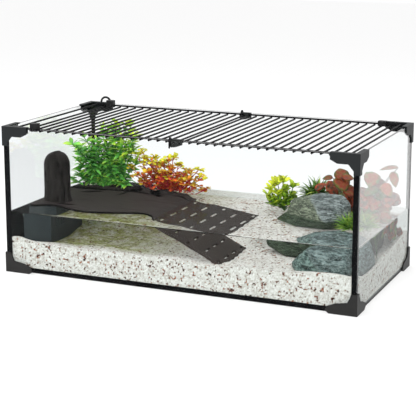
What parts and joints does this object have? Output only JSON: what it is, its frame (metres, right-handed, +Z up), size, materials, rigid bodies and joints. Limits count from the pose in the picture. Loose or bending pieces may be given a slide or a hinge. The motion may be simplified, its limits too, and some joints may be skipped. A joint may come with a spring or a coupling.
{
  "type": "reptile terrarium",
  "caption": "Low rectangular glass tank on corner feet with a hinged wire lid, a basking deck with ramp and hidden filter, gravel, rocks and plants.",
  "frame": {"origin": "on the ground under the middle of the tank's bounding box", "axes": "+X to the right along the tank's length, +Y to the back, +Z up"},
  "size_m": [0.6, 0.2972, 0.253],
  "materials": {
    "glass": "clear float glass",
    "silicone": "black silicone",
    "cap_plastic": "fine satin",
    "lid_wire": "black powder coat",
    "deck_plastic": "moulded bark relief",
    "stump_plastic": "moulded bark relief",
    "filter_plastic": "satin",
    "sponge": "open foam",
    "clear_rubber": "soft translucent",
    "gravel_stone": "loose washed stones",
    "rock_stone": "veined slate",
    "leaf_green": "soft moulded leaves",
    "leaf_red": "soft moulded leaves",
    "leaf_yellow": "soft moulded leaves",
    "leaf_dark": "soft moulded leaves",
    "leaf_broad": "soft moulded leaves"
  },
  "bodies": {
    "tank": {"base_glass": "glass", "front_glass": "glass", "back_glass": "glass", "left_glass": "glass", "right_glass": "glass", "seal_front_left": "silicone", "seal_front_right": "silicone", "seal_back_left": "silicone", "seal_back_right": "silicone", "band_front": "silicone", "band_back": "silicone", "band_left": "silicone", "band_right": "silicone", "foot_front_left": "cap_plastic", "foot_front_right": "cap_plastic", "foot_back_left": "cap_plastic", "foot_back_right": "cap_plastic", "cap_front_left": "cap_plastic", "cap_front_right": "cap_plastic", "cap_back_left": "cap_plastic", "cap_back_right": "cap_plastic", "cable_hoop": "cap_plastic", "hanger_front": "cap_plastic", "hanger_back": "cap_plastic", "hook_front": "lid_wire", "hook_back": "lid_wire", "deck": "deck_plastic", "ramp": "deck_plastic", "stump": "stump_plastic", "filter_housing": "filter_plastic", "filter_pump": "filter_plastic", "filter_sponge": "sponge", "suction_cups": "clear_rubber", "gravel": "gravel_stone", "rock_back": "rock_stone", "rock_front": "rock_stone", "plant_tall": "leaf_green", "plant_tuft": "leaf_green", "plant_red": "leaf_red", "plant_paddle": "leaf_yellow", "plant_spiky": "leaf_dark", "plant_broad": "leaf_broad"},
    "left_panel": {"lid_left": "lid_wire", "tab_front_left": "cap_plastic", "tab_back_left": "cap_plastic"},
    "right_panel": {"lid_right": "lid_wire", "tab_back_right": "cap_plastic"}
  },
  "joints": [
    {"name": "left_panel_hinge", "type": "hinge", "parent": "tank", "child": "left_panel", "pos_m": [0.0038, 0, 0.2359], "axis": [0, 1, 0], "range_deg": [0, 85]},
    {"name": "right_panel_hinge", "type": "hinge", "parent": "tank", "child": "right_panel", "pos_m": [0.0134, 0, 0.2359], "axis": [0, -1, 0], "range_deg": [0, 85]}
  ]
}
